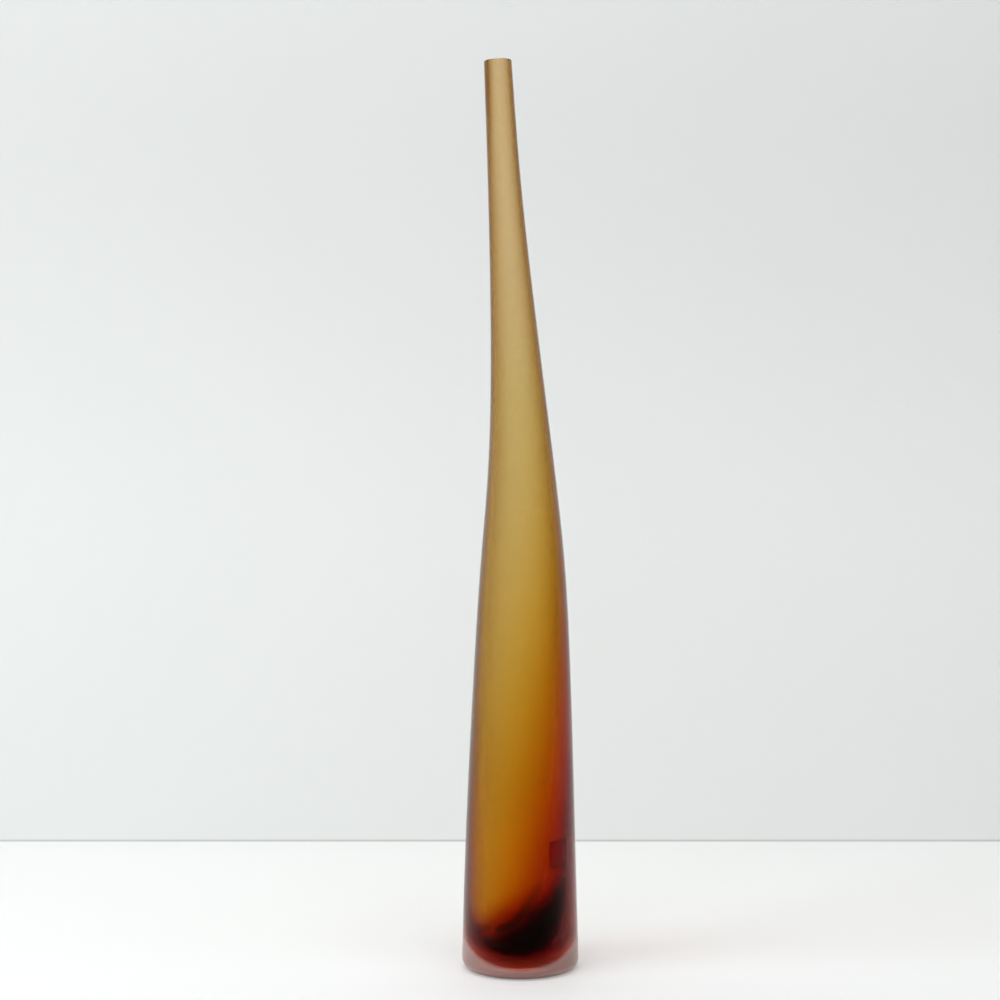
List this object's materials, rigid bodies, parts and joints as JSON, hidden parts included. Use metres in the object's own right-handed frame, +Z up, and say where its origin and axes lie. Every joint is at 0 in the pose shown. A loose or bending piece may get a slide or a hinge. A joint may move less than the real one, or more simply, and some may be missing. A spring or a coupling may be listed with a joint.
{
  "type": "glass bottle vase",
  "caption": "Tall slim bottle vase with a leaning neck, satin clear glass cased over an amber bubble with a heavy dark aubergine and amber base.",
  "frame": {"origin": "middle of the flat foot, on the surface that the vase stands on", "axes": "+Z up, -Y the front, -X the side that the neck leans to"},
  "size_m": [0.0876, 0.0876, 0.6805],
  "materials": {
    "satin_clear_glass": "acid satin outside, ground at mouth and foot",
    "aubergine_glass": "fused inside, nearly black where thick",
    "amber_glass": "fire polished inside the hollow",
    "clear_film": "clear glossy film, blank"
  },
  "bodies": {
    "root": {"clear_casing": "satin_clear_glass", "aubergine_pool": "aubergine_glass", "amber_base": "amber_glass", "amber_lining": "amber_glass", "film_label": "clear_film"}
  },
  "joints": []
}
